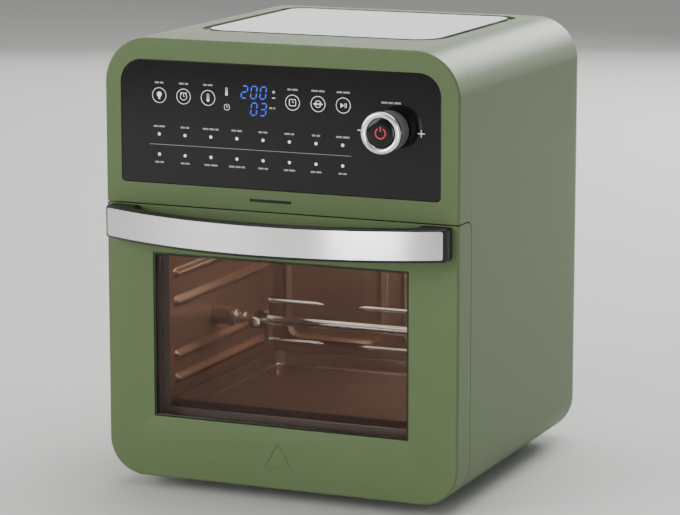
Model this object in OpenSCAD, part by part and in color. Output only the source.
// Air fryer oven with a drop-down glass door, a rotary control and a rotisserie.
// Drawn in millimetres with +Z up. The casing's front face is y = 0 and its
// underside z = 0 until place() moves the whole part: there the feet stand on
// z = 0 and the origin is the bottom centre of the part's box.

/* [Casing] */
// Width of the casing, side to side
body_w = 310; // [306:1:314]
// Height of the casing above the feet
body_h = 366; // [364:1:372]
// Depth of the casing, front face to back face
body_d = 312; // [310:1:320]
// Radius of the two top edges
top_r = 38; // [34:1:40]
// Radius of the two bottom edges
base_r = 31; // [30:1:33]
// Radius of the edges round the back
rear_r = 30; // [26:1:30]
// Thickness of the casing's walls
wall = 2.5; // [2:0.1:2.8]
// Height of the rubber feet
foot_h = 10; // [9:1:14]
// How far the spacers stand behind the back face
spacer_out = 12; // [8:1:20]

/* [Door] */
// Height of the door's top edge above the underside
door_h = 229; // [228:0.5:230]
// Depth of the door's skirt and of the fascia's skirt
skirt_d = 28; // [28:0.5:29]
// Gap between the door and the casing
door_gap = 1.2; // [1.1:0.1:1.5]
// Radius of the skirt's top corner, seen from the side
skirt_r = 9; // [7:0.5:10]
// Half width of the window
win_x = 113; // [110:0.5:113]
// Bottom edge of the window
win_z0 = 52; // [51:0.5:54]
// Top edge of the window
win_z1 = 190; // [188:0.5:190]
// Distance of the hinge axis behind the front face
hinge_y = 12; // [11.5:0.1:12.5]
// Height of the hinge axis
hinge_z = 5; // [4.8:0.1:5.2]

/* [Handle] */
// How far the handle stands out of the door at its middle
handle_out = 50.3; // [48:0.1:54]
// Bow of the handle, from its ends to its middle
handle_bow = 36; // [32:1:38]
// Half length of the bright strip
handle_x = 147.6; // [144:0.1:148]
// Bottom edge of the bright strip
handle_z0 = 203.9; // [203.5:0.1:205]
// Top edge of the bright strip
handle_z1 = 226.7; // [225:0.1:226.7]

/* [Controls] */
// Left edge of the control panel
panel_x0 = -140.4; // [-141:0.1:-139]
// Right edge of the control panel
panel_x1 = 139.4; // [138:0.1:141]
// Bottom edge of the control panel
panel_z0 = 247.3; // [246:0.1:248]
// Top edge of the control panel
panel_z1 = 348.4; // [347:0.1:349]
// Place of the knob, across
knob_x = 97.2; // [95:0.1:99]
// Place of the knob, up
knob_z = 302.5; // [300:0.1:304]
// Radius of the knob's bright ring
knob_r = 17; // [16.5:0.1:18]
// How far the knob stands out of the front face
knob_out = 23; // [22:0.5:25]

/* [Oven] */
// Half width inside the oven
oven_x = 118; // [117:0.5:119]
// Back of the oven
oven_y1 = 250; // [248:1:252]
// Top of the oven's floor
oven_z0 = 44; // [43.5:0.5:44.5]
// Underside of the oven's ceiling
oven_z1 = 228; // [227:0.5:228]
// Place of the spit, front to back
spit_y = 130; // [125:1:135]
// Height of the spit
spit_z = 112; // [111:0.5:113]

/* [Hidden] */
$fn = 64;

half_w = body_w / 2;
// The front face's place once the part's box is centred front to back.
front_y = handle_out - (handle_out + body_d + spacer_out) / 2;
fascia_z = door_h + door_gap;
rear_in = body_d - wall;
sheet = 1.2;
door_wall = 3;
// Radius of a self-tapping screw's thread
screw_r = 1.6;

// Colours
green = [0.43, 0.49, 0.37];
black = [0.06, 0.06, 0.06];
silver = [0.80, 0.80, 0.81];
steel = [0.62, 0.62, 0.63];
dark_steel = [0.33, 0.32, 0.31];
smoked = [0.25, 0.20, 0.18, 0.45];
board = [0.10, 0.30, 0.16];
rubber = [0.12, 0.12, 0.12];
copper = [0.60, 0.38, 0.20];

// ---- Shared shapes ----

module place() {
  translate([0, front_y, foot_h]) children();
}

// A box from its low to its high value on each axis
module block(x, y, z) {
  translate([x[0], y[0], z[0]]) cube([x[1] - x[0], y[1] - y[0], z[1] - z[0]]);
}

// A drawing in x and z, given a length along y
module along_y(y0, y1) {
  translate([0, y1, 0]) rotate([90, 0, 0]) linear_extrude(y1 - y0) children();
}

// A drawing in y and z, given a length along x
module along_x(x0, x1) {
  translate([x0, 0, 0]) rotate([90, 0, 90]) linear_extrude(x1 - x0) children();
}

// A drawing in x and y, given a length along z
module along_z(z0, z1) {
  translate([0, 0, z0]) linear_extrude(z1 - z0) children();
}

module rod_x(x0, x1, y, z, r) {
  along_x(x0, x1) translate([y, z]) circle(r);
}

module rod_y(y0, y1, x, z, r) {
  along_y(y0, y1) translate([x, z]) circle(r);
}

module rod_z(z0, z1, x, y, r) {
  along_z(z0, z1) translate([x, y]) circle(r);
}

// Left and right copies
module both_sides() {
  for (side = [0, 1]) mirror([side, 0, 0]) children();
}

// A rectangle between two corners, with its own radius at low and high corners
module round_box(a, b, r_low, r_high) {
  translate([a[0] + r_low, a[1]]) square([b[0] - a[0] - 2 * r_low, (b[1] - a[1]) / 2]);
  translate([a[0] + r_high, (a[1] + b[1]) / 2])
    square([b[0] - a[0] - 2 * r_high, (b[1] - a[1]) / 2]);
  translate([a[0], a[1] + r_low]) square([b[0] - a[0], b[1] - a[1] - r_low - r_high]);
  for (x = [a[0] + r_low, b[0] - r_low]) translate([x, a[1] + r_low]) circle(r_low);
  for (x = [a[0] + r_high, b[0] - r_high]) translate([x, b[1] - r_high]) circle(r_high);
}

// A long hole or rib with round ends, from a to b in the drawing's first axis
module stadium(a, b, v, r) {
  translate([a + r, v - r]) square([b - a - 2 * r, 2 * r]);
  for (u = [a + r, b - r]) translate([u, v]) circle(r);
}

// The casing's front view, drawn smaller by inset
module front_outline(inset) {
  round_box([inset - half_w, inset], [half_w - inset, body_h - inset],
            base_r - inset, top_r - inset);
}

// The casing as one block, drawn smaller by inset and with its back edges rounded
module casing_block(inset) {
  back = body_d - inset;
  r = rear_r - inset;
  intersection() {
    along_y(0, back) front_outline(inset);
    along_z(0, body_h) {
      translate([inset - half_w, 0]) square([body_w - 2 * inset, back - r]);
      translate([inset - half_w + r, 0]) square([body_w - 2 * inset - 2 * r, back]);
      for (x = [inset - half_w + r, half_w - inset - r])
        translate([x, back - r]) circle(r);
    }
    along_x(-half_w, half_w) {
      translate([0, inset]) square([back - r, body_h - 2 * inset]);
      translate([0, inset + r]) square([back, body_h - 2 * inset - 2 * r]);
      for (z = [inset + r, body_h - inset - r]) translate([back - r, z]) circle(r);
    }
  }
}

// The door's side view, drawn larger by grow
module door_side(grow) {
  top = door_h + grow;
  back = skirt_d + grow;
  r = skirt_r + grow;
  translate([-1, -1]) square([back - r + 1, top + 1]);
  translate([-1, -1]) square([back + 1, top - r + 1]);
  translate([back - r, top - r]) circle(r);
}

// ---- Casing ----

// The inlaid top panel's half width, front edge and back edge
inlay_x = 108;
inlay_y0 = 68;
inlay_y1 = 272;

// The top panel's outline, smaller by inset
module top_outline(inset) {
  round_box([inset - inlay_x, inlay_y0 + inset], [inlay_x - inset, inlay_y1 - inset],
            27 - inset, 20 - inset);
}

rear_open_x = 112;
rear_open_z0 = 40;
rear_open_z1 = 330;
base_open_x = 110;
base_open_y0 = 80;
base_open_y1 = 250;
base_screw_x = [-113, 113];
base_screw_y = [92, 238];
foot_x = [-104, 104];
foot_y = [62, 266];

module outer_wrap() {
  color(green) place() difference() {
    casing_block(0);
    casing_block(wall);
    block([-half_w, half_w], [-1, skirt_d], [-1, body_h + 1]);
    along_x(-half_w - 1, half_w + 1) door_side(door_gap);
    along_z(body_h - sheet, body_h + 1) top_outline(0);
    along_z(body_h - wall - 1, body_h + 1) top_outline(4);
    block([-rear_open_x, rear_open_x], [rear_in - 1, body_d + 1],
          [rear_open_z0, rear_open_z1]);
    block([-base_open_x, base_open_x], [base_open_y0, base_open_y1], [-1, wall + 1]);
    for (x = base_screw_x, y = base_screw_y) rod_z(-1, wall + 1, x, y, screw_r);
  }
}

module top_panel() {
  color(silver) place() {
    along_z(body_h - sheet, body_h) top_outline(0.8);
    along_z(body_h - wall, body_h - sheet) top_outline(4.6);
  }
}

module front_fascia() {
  ledge = 6;
  color(green) place() difference() {
    along_y(0, skirt_d) front_outline(0);
    along_x(-half_w - 1, half_w + 1) door_side(door_gap);
    intersection() {
      along_y(door_wall, skirt_d + 1) front_outline(door_wall);
      block([-half_w, half_w], [0, skirt_d + 2], [fascia_z + door_wall, body_h]);
    }
    along_y(-1, 2.7) round_box([panel_x0, panel_z0], [panel_x1, panel_z1], 3.5, 19);
    block([panel_x0 + ledge, panel_x1 - ledge], [2, door_wall + 1],
          [panel_z0 + ledge, panel_z1 - ledge]);
    both_sides() block([half_w - 40, half_w - door_wall], [door_wall, skirt_d + 1],
                       [door_h - 20, fascia_z]);
  }
}

module base_pan() {
  color(dark_steel) place() difference() {
    block([-base_open_x - 6, base_open_x + 6], [base_open_y0 - 6, base_open_y1 + 6],
          [wall, wall + sheet]);
    for (x = [-75:25:75]) along_z(wall - 1, wall + 3)
      rotate(90) stadium(120, 210, -x, 3);
    for (x = base_screw_x, y = base_screw_y) rod_z(0, wall + 3, x, y, screw_r);
  }
}

module feet() {
  color(rubber) place() for (x = foot_x, y = foot_y) {
    rod_z(-foot_h, -2, x, y, 11);
    rod_z(-2, 0, x, y, 13);
  }
}

module base_screws() {
  color(steel) place() for (x = base_screw_x, y = base_screw_y) {
    rod_z(-1.2, 0, x, y, 2.8);
    rod_z(0, 9, x, y, screw_r);
  }
}

// Rear panel with its air slots
gland_x = -84;
gland_z = 62;
gland_r = 7;
spacer_x = 96;
spacer_z = [268, 308];
rear_screw_x = [-107, 107];
rear_screw_z = [50, 185, 320];
// Where the exhaust duct meets the rear panel
duct_x = 32;
duct_z0 = 234;
duct_z1 = 254;

module rear_panel() {
  back = rear_in;
  color(dark_steel) place() difference() {
    block([-rear_open_x - 5, rear_open_x + 5], [back - sheet, back],
          [rear_open_z0 - 5, rear_open_z1 + 5]);
    for (z = [270:9:315]) along_y(back - 3, back + 1) stadium(-62, 62, z, 2.2);
    for (z = [96:9:150]) along_y(back - 3, back + 1) stadium(-50, 50, z, 2.2);
    for (x = [-27:6:27])
      block([x - 1.7, x + 1.7], [back - 3, back + 1], [duct_z0 + 3, duct_z1 - 3]);
    rod_y(back - 3, back + 1, gland_x, gland_z, gland_r);
    for (x = rear_screw_x, z = rear_screw_z) rod_y(back - 3, back + 1, x, z, screw_r);
  }
}

module rear_screws() {
  color(steel) place() for (x = rear_screw_x, z = rear_screw_z) {
    rod_y(rear_in, rear_in + 1.8, x, z, 3);
    rod_y(rear_in - 10, rear_in, x, z, screw_r);
  }
}

module rear_spacers() {
  color(black) place() both_sides() {
    block([spacer_x - 6, spacer_x + 6], [rear_in, body_d + spacer_out - 4], spacer_z);
    along_z(spacer_z[0], spacer_z[1])
      translate([spacer_x, body_d + spacer_out - 6]) circle(6);
  }
}

module cord_gland() {
  half = 9;
  color(black) place() difference() {
    union() {
      rod_y(rear_in - half, rear_in, gland_x, gland_z, gland_r);
      rod_y(rear_in, rear_in + 3, gland_x, gland_z, 1.5 * gland_r);
      rod_y(rear_in + 3, rear_in + half, gland_x, gland_z, gland_r);
    }
    rod_y(rear_in - half - 1, rear_in + half + 1, gland_x, gland_z, 3.8);
  }
}

// ---- Controls ----

module control_lens() {
  color(black) place() difference() {
    along_y(0.3, 2.7) round_box([panel_x0 + 0.15, panel_z0 + 0.15],
                                [panel_x1 - 0.15, panel_z1 - 0.15], 3.35, 18.85);
    rod_y(-1, 4, knob_x, knob_z, 6);
  }
}

module control_board() {
  color(board) place() {
    difference() {
      block([-128, 128], [12, 13.6], [256, 340]);
      rod_y(11, 15, knob_x, knob_z, 3.4);
    }
    for (x = [-100, 40], z = [262, 334]) rod_y(13.6, 19, x, z, 2.6);
    for (x = [-112, -78, -44, 10]) block([x, x + 16], [13.6, 17], [276, 288]);
  }
}

module display_module() {
  color([0.85, 0.85, 0.86]) place() block([-50, 4], [4, 12], [305, 334]);
}

// The encoder's fixed tube, the button's stem in it, and the gap of a running fit
tube_r = 5;
stem_r = 3;
running_gap = 0.05;
// Thickness of the knob's bright ring, and of the step behind it
ring_t = 5;
ring_d = 4;

// Encoder with the fixed tube that carries the knob and guides the button
module encoder() {
  color(steel) place() difference() {
    union() {
      block([knob_x - 8, knob_x + 8], [4, 12], [knob_z - 8, knob_z + 8]);
      rod_y(10.5 - knob_out, 4, knob_x, knob_z, tube_r);
    }
    rod_y(-knob_out, 9, knob_x, knob_z, stem_r + running_gap);
  }
}

module knob_body() {
  face = ring_d - knob_out;
  color([0.16, 0.16, 0.17]) place() difference() {
    rod_y(face, -0.6, knob_x, knob_z, knob_r - 1);
    rod_y(face - 1, face + 7.5, knob_x, knob_z, knob_r - ring_t);
    rod_y(face, 1, knob_x, knob_z, tube_r + running_gap);
  }
}

module knob_ring() {
  color(silver) place() difference() {
    rod_y(-knob_out, ring_d - knob_out, knob_x, knob_z, knob_r);
    rod_y(-knob_out - 1, ring_d + 1 - knob_out, knob_x, knob_z, knob_r - ring_t);
  }
}

module power_button() {
  color(black) place() {
    rod_y(1 - knob_out, 9 - knob_out, knob_x, knob_z, knob_r - ring_t - 0.4);
    rod_y(9 - knob_out, 3, knob_x, knob_z, stem_r);
  }
}

module power_board() {
  color(board) place() {
    block([-146, -144.4], [60, 170], [244, 330]);
    for (y = [70, 160], z = [252, 322]) rod_x(-half_w + wall, -146, y, z, 3);
    block([-144.4, -116], [70, 104], [292, 322]);
    block([-144.4, -130], [114, 134], [296, 318]);
    block([-144.4, -130], [138, 158], [296, 318]);
    for (y = [76, 94]) rod_x(-144.4, -122, y, 268, 7);
    block([-144.4, -134], [112, 162], [250, 272]);
  }
}

// ---- Fan and heater ----
fan_y = 142;
fan_bowl_r = 95;
bowl_z = oven_z1 + sheet + 28;
shaft_r = 3;
terminal_x = [-12, 12];
terminal_z = bowl_z + 11;

module fan_housing() {
  color(steel) place() difference() {
    union() {
      rod_z(oven_z1 + sheet, oven_z1 + 2 * sheet, 0, fan_y, fan_bowl_r + 9);
      rod_z(oven_z1 + sheet, bowl_z, 0, fan_y, fan_bowl_r);
    }
    rod_z(oven_z1, bowl_z - sheet, 0, fan_y, fan_bowl_r - sheet);
    rod_z(oven_z1, bowl_z + 1, 0, fan_y, 2 * shaft_r);
    for (x = terminal_x) rod_z(oven_z1, bowl_z + 1, x, fan_y + heater_y(x), 3.6);
    block([2 - duct_x, duct_x - 2], [fan_y + 60, fan_y + 110],
          [duct_z0 + 2, duct_z1 - 2]);
  }
}

heater_r = 80;
heater_pitch = 24;
heater_half = 3;
heater_z = 219;
// Distance of a point of the heater's outer turn behind the fan, x to the side
function heater_y(x) = sqrt(heater_r * heater_r - x * x);

// One turn of the heater, a ring of square section
module heater_turn(r) {
  along_z(heater_z - heater_half, heater_z + heater_half)
    translate([0, fan_y]) difference() {
      circle(r + heater_half);
      circle(r - heater_half);
    }
}

module heater_coil() {
  color(dark_steel) place() {
    heater_turn(heater_r);
    heater_turn(heater_r - heater_pitch);
    for (x = terminal_x) rod_z(heater_z, terminal_z, x, fan_y + heater_y(x), 2.6);
    for (a = [40, 140, 270]) translate([0, fan_y, 0]) rotate(a)
      block([heater_r - heater_pitch - 1, heater_r], [-2, 2],
            [heater_z - 1.5, heater_z + 1.5]);
  }
}

guard_z = 206;
guard_r = 102;
guard_hole = 4.6;
post_r = 2.5;

// Runs its children at each of the four posts that hold the guard
module at_posts() {
  for (a = [45:90:315]) translate([0, fan_y, 0]) rotate(a) translate([guard_r - 5, 0, 0])
    children();
}

// Flat perforated plate that keeps food off the heater
module heater_guard() {
  color(steel) place() difference() {
    rod_z(guard_z, guard_z + sheet, 0, fan_y, guard_r);
    for (ring = [1:6], k = [0:6 * ring - 1]) translate([0, fan_y, 0])
      rotate(k * 60 / ring) rod_z(guard_z - 1, guard_z + 2, ring * 14.5, 0, guard_hole);
    rod_z(guard_z - 1, guard_z + 2, 0, fan_y, guard_hole);
    at_posts() rod_z(guard_z - 1, guard_z + 2, 0, 0, post_r);
  }
}

module guard_posts() {
  color(steel) place() at_posts() {
    rod_z(guard_z - 1.5, guard_z, 0, 0, post_r + 1.5);
    rod_z(guard_z, oven_z1, 0, 0, post_r);
  }
}

motor_z = bowl_z + 6;

module fan_motor() {
  color(copper) place() difference() {
    union() {
      block([-38, 38], [fan_y - 38, fan_y + 38], [motor_z, motor_z + 2]);
      rod_z(motor_z + 2, motor_z + 30, 0, fan_y, 28);
      rod_z(motor_z + 30, motor_z + 36, 0, fan_y, 10);
      for (x = [-32, 32], y = [-32, 32]) rod_z(motor_z - 6, motor_z, x, fan_y + y, 3);
    }
    rod_z(motor_z - 1, motor_z + 40, 0, fan_y, shaft_r + running_gap);
  }
}

// Underside of the oven fan
fan_z0 = 236;

module fan_shaft() {
  color(steel) place() rod_z(fan_z0 - 2, motor_z + 56, 0, fan_y, shaft_r);
}

// A fan of flat blades on a hub that fits the shaft
module fan(z0, z1, hub_r, tip_r, blades, pitch) {
  place() translate([0, fan_y, 0]) difference() {
    union() {
      rod_z(z0, z1, 0, 0, hub_r);
      for (k = [0:blades - 1]) rotate(k * 360 / blades)
        translate([hub_r - 2, 0, (z0 + z1) / 2]) rotate([pitch, 0, 0])
          translate([0, -0.7, (z0 - z1) / 2]) cube([tip_r - hub_r + 2, 1.4, z1 - z0]);
    }
    rod_z(z0 - 5, z1 + 5, 0, 0, shaft_r);
  }
}

module fan_blade() {
  color(steel) fan(fan_z0, fan_z0 + 12, 10, 68, 8, 18);
}

module cooling_fan() {
  color(black) fan(motor_z + 42, motor_z + 52, 9, 36, 7, 35);
}

module exhaust_duct() {
  color(steel) place() difference() {
    block([-duct_x, duct_x], [fan_y + fan_bowl_r + 1, rear_in - sheet],
          [duct_z0, duct_z1]);
    block([sheet - duct_x, duct_x - sheet], [fan_y, body_d],
          [duct_z0 + sheet, duct_z1 - sheet]);
  }
}

// ---- Oven ----
frame_y = 33;
frame_t = 1.5;
oven_y0 = frame_y + frame_t;
mouth_x = 116;
mouth_z0 = oven_z0 - 1;
mouth_z1 = 208;
switch_x = 132;
switch_z = 120;
plunger_r = 1.8;
lamp_y = 205;
lamp_z = 208;
lamp_r = 14;
probe_x = 90;
probe_z = 205;
probe_r = 2.2;
rail_z = [72, 92, 138, 162, 186];

module front_frame() {
  color(steel) place() difference() {
    intersection() {
      along_y(frame_y, oven_y0) front_outline(wall + 1);
      block([-half_w, half_w], [0, body_d], [12, door_h - 3]);
    }
    block([-mouth_x, mouth_x], [0, body_d], [mouth_z0, mouth_z1]);
    rod_y(0, body_d, switch_x, switch_z, 2.4);
  }
}

// Side wall of the oven with its pressed shelf rails, drawn for the right side
module side_wall() {
  along_x(oven_x, oven_x + sheet) translate([oven_y0, oven_z0 - sheet])
    square([oven_y1 - oven_y0, oven_z1 - oven_z0 + sheet]);
  for (z = rail_z) along_x(oven_x - 4, oven_x) stadium(oven_y0 + 14, oven_y1 - 14, z, 4);
}

module oven_left_wall() {
  color(steel) place() difference() {
    mirror([1, 0, 0]) side_wall();
    rod_x(-oven_x - 3, 0, spit_y, spit_z, 6);
  }
}

module oven_right_wall() {
  color(steel) place() difference() {
    side_wall();
    rod_x(oven_x - 10, oven_x + 3, lamp_y, lamp_z, lamp_r);
  }
}

module oven_back_wall() {
  color(steel) place() difference() {
    union() {
      block([-oven_x - sheet, oven_x + sheet], [oven_y1, oven_y1 + sheet],
            [oven_z0 - sheet, oven_z1]);
      both_sides() difference() {
        along_y(oven_y1 - 3, oven_y1) round_box([8, 68], [106, 200], 16, 16);
        along_y(oven_y1 - 4, oven_y1 - 0.5) round_box([13, 73], [101, 195], 11, 11);
      }
    }
    rod_y(0, body_d, probe_x, probe_z, probe_r);
  }
}

module oven_floor() {
  color(steel) place() block([-oven_x, oven_x], [oven_y0, oven_y1],
                             [oven_z0 - sheet, oven_z0]);
}

module oven_ceiling() {
  color(steel) place() difference() {
    block([-oven_x - sheet, oven_x + sheet], [oven_y0, oven_y1 + sheet],
          [oven_z1, oven_z1 + sheet]);
    rod_z(0, body_h, 0, fan_y, fan_bowl_r - 3);
  }
}

module lamp_housing() {
  x0 = oven_x + sheet;
  color(dark_steel) place() difference() {
    rod_x(x0, x0 + 25, lamp_y, lamp_z, lamp_r + 3);
    rod_x(x0 - 1, x0 + 22, lamp_y, lamp_z, lamp_r);
  }
}

module lamp_bulb() {
  x0 = oven_x + sheet;
  color([1.0, 0.85, 0.6]) place() {
    rod_x(x0 + 8, x0 + 22, lamp_y, lamp_z, 6);
    translate([x0 + 8, lamp_y, lamp_z]) sphere(6);
  }
}

module lamp_lens() {
  color([0.9, 0.85, 0.75, 0.5]) place()
    rod_x(oven_x - 2, oven_x + sheet, lamp_y, lamp_z, lamp_r);
}

module temperature_probe() {
  color(silver) place() {
    rod_y(oven_y1 - 32, oven_y1 + 14, probe_x, probe_z, probe_r);
    rod_y(oven_y1 + sheet, oven_y1 + 8, probe_x, probe_z, 5);
  }
}

module drip_tray() {
  x = 112;
  y0 = oven_y0 + 6;
  y1 = oven_y1 - 4;
  z0 = oven_z0 + 0.3;
  rim = z0 + 14;
  color(dark_steel) place() {
    difference() {
      along_z(z0, rim) round_box([-x, y0], [x, y1], 10, 10);
      along_z(z0 + sheet, rim + 1)
        round_box([sheet - x, y0 + sheet], [x - sheet, y1 - sheet], 8.8, 8.8);
    }
    difference() {
      along_z(rim - sheet, rim) round_box([-x - 2.5, y0 - 2], [x + 2.5, y1 + 2], 12, 12);
      along_z(rim - 2, rim + 1)
        round_box([sheet - x, y0 + sheet], [x - sheet, y1 - sheet], 8.8, 8.8);
    }
  }
}

// ---- Rotisserie ----
motor_face = oven_x + 3;
rod_r = 4;
// Half width of the spit's square drive end
drive_half = 3;

module rotisserie_motor() {
  color(dark_steel) place() mirror([1, 0, 0]) difference() {
    union() {
      rod_x(motor_face, motor_face + 26, spit_y, spit_z, 24);
      for (y = [-30, 30]) {
        block([motor_face, motor_face + 2], [spit_y + y - 8, spit_y + y + 8],
              [spit_z - 7, spit_z + 7]);
        rod_x(oven_x + sheet, motor_face, spit_y + y, spit_z, 3);
      }
    }
    rod_x(motor_face - 1, motor_face + 14, spit_y, spit_z, rod_r + running_gap);
  }
}

module square_end(x0, x1) {
  block([x0, x1], [spit_y - drive_half, spit_y + drive_half],
        [spit_z - drive_half, spit_z + drive_half]);
}

module drive_coupler() {
  color(steel) place() mirror([1, 0, 0]) difference() {
    union() {
      rod_x(oven_x - 0.6, motor_face + 12, spit_y, spit_z, rod_r);
      rod_x(oven_x - 16, oven_x - 0.6, spit_y, spit_z, 9);
    }
    rod_x(oven_x - 17, oven_x - 8, spit_y, spit_z, rod_r);
    square_end(oven_x - 9, oven_x - 2);
  }
}

module spit_rod() {
  color(silver) place() {
    square_end(2.5 - oven_x, 9 - oven_x);
    rod_x(8 - oven_x, oven_x - 1, spit_y, spit_z, rod_r);
  }
}

module spit_cradle() {
  slot = rod_r + running_gap;
  color(steel) place() difference() {
    block([oven_x - 10, oven_x], [spit_y - 9, spit_y + 9], [spit_z - 12, spit_z + 8]);
    rod_x(0, half_w, spit_y, spit_z, slot);
    block([0, half_w], [spit_y - slot, spit_y + slot], [spit_z, spit_z + 9]);
  }
}

fork_x = 66;
prong_l = 44;
prong_z = 17;
prong_r = 1.8;
thumb_r = 2;

module spit_forks() {
  color(silver) place() both_sides() difference() {
    union() {
      rod_x(fork_x, fork_x + 12, spit_y, spit_z, 8);
      block([fork_x, fork_x + 4], [spit_y - 4, spit_y + 4],
            [spit_z - prong_z - 3, spit_z + prong_z + 3]);
      for (z = [-prong_z, prong_z]) {
        rod_x(fork_x - prong_l, fork_x, spit_y, spit_z + z, prong_r);
        translate([fork_x - prong_l, spit_y, spit_z + z]) rotate([0, -90, 0])
          cylinder(h = 6, r1 = prong_r, r2 = 0.3, $fn = 24);
      }
    }
    rod_x(0, half_w, spit_y, spit_z, rod_r);
    rod_y(spit_y - 20, spit_y, fork_x + 8, spit_z, thumb_r);
  }
}

module fork_screws() {
  color(steel) place() both_sides() {
    rod_y(spit_y - 14, spit_y - 4.4, fork_x + 8, spit_z, thumb_r);
    rod_y(spit_y - 19, spit_y - 14, fork_x + 8, spit_z, 5);
  }
}

// ---- Door ----
inner_y = 21.5;
win_edge = 2;
pan_x = 138;
pan_z0 = 14;
pan_z1 = 222;
seal_x0 = 119;
seal_z0 = 33;
seal_z1 = 221;
seal_w = 7;
ear_x = [84, 95];
arm_x = [88, 94];
ear_t = 3;
ear_r = 3.8;
pin_r = 2;
handle_screw_x = [-130, 130];
handle_screw_z = 213;
handle_screw_r = 2;

module door_frame() {
  color(green) place() difference() {
    intersection() {
      along_y(0, skirt_d) front_outline(0);
      along_x(-half_w, half_w) door_side(0);
    }
    intersection() {
      along_y(door_wall, skirt_d + 1) front_outline(door_wall);
      block([-half_w, half_w], [0, skirt_d + 2], [0, door_h - door_wall]);
    }
    block([-118, 118], [7, skirt_d + 1], [-1, door_wall + 1]);
    block([-win_x, win_x], [-1, door_wall + 1], [win_z0, win_z1]);
    for (x = handle_screw_x)
      rod_y(-1, door_wall + 1, x, handle_screw_z, handle_screw_r);
  }
}

module window_trim() {
  color(black) place() difference() {
    block([-win_x, win_x], [0.6, door_wall], [win_z0, win_z1]);
    block([win_edge - win_x, win_x - win_edge], [0, door_wall + 1],
          [win_z0 + win_edge, win_z1 - win_edge]);
  }
}

module outer_glass() {
  color(smoked) place() block([-118, 118], [door_wall, door_wall + 4], [46, 196]);
}

module inner_glass() {
  color(smoked) place() block([-114, 114], [inner_y - 5.5, inner_y - 1.5], [50, 192]);
}

module door_inner_frame() {
  color(dark_steel) place() difference() {
    block([-pan_x, pan_x], [door_wall, inner_y], [pan_z0, pan_z1]);
    block([1.5 - pan_x, pan_x - 1.5], [0, inner_y - 1.5], [pan_z0 + 1.5, pan_z1 - 1.5]);
    block([-108, 108], [0, inner_y + 1], [56, 186]);
  }
}

module door_seal() {
  color(rubber) place() difference() {
    along_y(inner_y, frame_y - 0.4) round_box([-seal_x0 - seal_w, seal_z0],
      [seal_x0 + seal_w, seal_z1], 12, 12);
    along_y(0, body_d) round_box([-seal_x0, seal_z0 + seal_w],
      [seal_x0, seal_z1 - seal_w], 6, 6);
  }
}

// Outline of a hinge ear, from the door's front wall round the hinge axis
module ear_side() {
  translate([hinge_y, hinge_z]) circle(ear_r);
  translate([door_wall, door_wall])
    square([hinge_y - door_wall, hinge_z + ear_r - door_wall]);
}

module hinge_plates() {
  color(steel) place() both_sides() difference() {
    union() {
      for (x = ear_x) along_x(x, x + ear_t) ear_side();
      block([ear_x[0] - 4, ear_x[1] + ear_t + 4], [door_wall, door_wall + 1.5],
            [door_wall, pan_z0 - 1]);
    }
    rod_x(0, half_w, hinge_y, hinge_z, pin_r + 0.06);
  }
}

module hinge_brackets() {
  color(steel) place() both_sides() difference() {
    union() {
      along_x(arm_x[0], arm_x[1]) {
        translate([hinge_y, hinge_z]) circle(ear_r);
        translate([hinge_y, hinge_z - 1.4]) square([oven_y0 + 2 - hinge_y, ear_r + 1.4]);
      }
      block([arm_x[0] - 8, arm_x[1] + 8], [oven_y0, oven_y0 + 2], [hinge_z - 1.4, 30]);
    }
    rod_x(0, half_w, hinge_y, hinge_z, pin_r);
  }
}

module hinge_pins() {
  color(silver) place() both_sides() {
    rod_x(ear_x[0] - 1, 110, hinge_y, hinge_z, pin_r);
    rod_x(ear_x[0] - 2.5, ear_x[0] - 1, hinge_y, hinge_z, pin_r + 1.2);
  }
}

// Closing springs: turns of wire side by side on the hinge pin, with a leg to the frame
module door_springs() {
  coil_r = pin_r + 0.7;
  color(steel) place() both_sides() {
    for (k = [0:7]) translate([100 + k, hinge_y, hinge_z]) rotate([0, 90, 0])
      rotate_extrude() translate([coil_r, 0]) circle(0.52, $fn = 16);
    rod_y(hinge_y, oven_y0 + 1, 107, hinge_z + coil_r, 0.5);
  }
}

handle_arc = (handle_x * handle_x + handle_bow * handle_bow) / (2 * handle_bow);
handle_rim = 2.4;
grip_t = 10;
post_x = 123;

module handle_circle(inset) {
  translate([0, handle_arc - handle_out]) circle(handle_arc - inset, $fn = 200);
}

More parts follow.
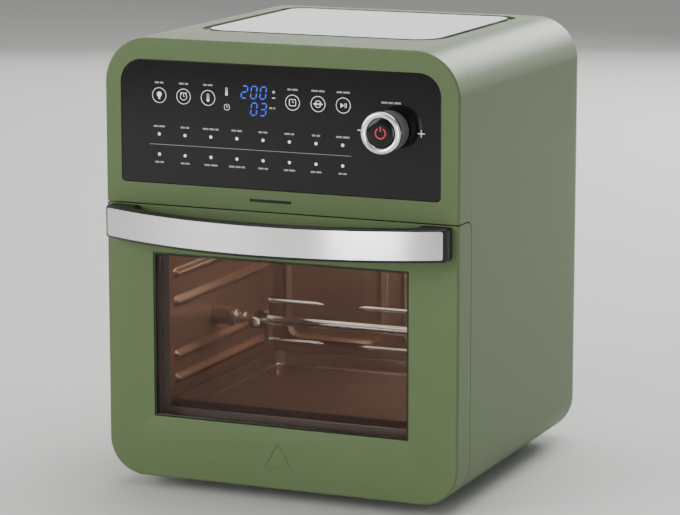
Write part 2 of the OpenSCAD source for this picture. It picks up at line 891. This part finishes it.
module handle_bar() {
  reach = handle_x + handle_rim;
  color(black) place() difference() {
    along_z(handle_z0 - handle_rim, handle_z1 + 1.8) difference() {
      intersection() {
        handle_circle(0.3);
        translate([-reach, -handle_out]) square([2 * reach, handle_out]);
      }
      intersection() {
        handle_circle(grip_t);
        translate([-post_x, -handle_out]) square([2 * post_x, handle_out + 1]);
      }
    }
    handle_strip();
    for (x = handle_screw_x) rod_y(-10, 1, x, handle_screw_z, handle_screw_r);
  }
}

module handle_strip() {
  along_z(handle_z0, handle_z1) difference() {
    intersection() {
      handle_circle(0);
      translate([-handle_x, -handle_out - 1]) square([2 * handle_x, handle_out]);
    }
    handle_circle(1);
  }
}

module handle_trim() {
  color(silver) place() handle_strip();
}

module handle_screws() {
  color(steel) place() for (x = handle_screw_x) {
    rod_y(-10, door_wall, x, handle_screw_z, handle_screw_r);
    rod_y(door_wall, door_wall + 3, x, handle_screw_z, 2 * handle_screw_r);
  }
}

module door_magnets() {
  color(dark_steel) place() both_sides()
    block([129, 137], [inner_y + 0.6, frame_y], [190, 206]);
}

module door_switch() {
  color(black) place() difference() {
    block([switch_x - 6, switch_x + 6], [oven_y0, oven_y0 + 16],
          [switch_z - 9, switch_z + 9]);
    rod_y(0, oven_y0 + 12, switch_x, switch_z, plunger_r + running_gap);
  }
}

module switch_plunger() {
  color([0.9, 0.9, 0.9]) place()
    rod_y(inner_y + 0.5, oven_y0 + 6, switch_x, switch_z, plunger_r);
}

outer_wrap();
top_panel();
front_fascia();
control_lens();
control_board();
display_module();
encoder();
power_board();
fan_motor();
fan_housing();
heater_coil();
heater_guard();
guard_posts();
oven_ceiling();
oven_left_wall();
oven_right_wall();
oven_back_wall();
oven_floor();
front_frame();
lamp_housing();
lamp_bulb();
lamp_lens();
temperature_probe();
rotisserie_motor();
spit_cradle();
door_switch();
door_magnets();
hinge_brackets();
hinge_pins();
door_springs();
exhaust_duct();
rear_panel();
rear_spacers();
cord_gland();
base_pan();
feet();
rear_screws();
base_screws();
door_frame();
window_trim();
outer_glass();
inner_glass();
door_inner_frame();
door_seal();
hinge_plates();
handle_bar();
handle_trim();
handle_screws();
knob_body();
knob_ring();
power_button();
spit_rod();
spit_forks();
fork_screws();
drive_coupler();
fan_shaft();
fan_blade();
cooling_fan();
drip_tray();
switch_plunger();
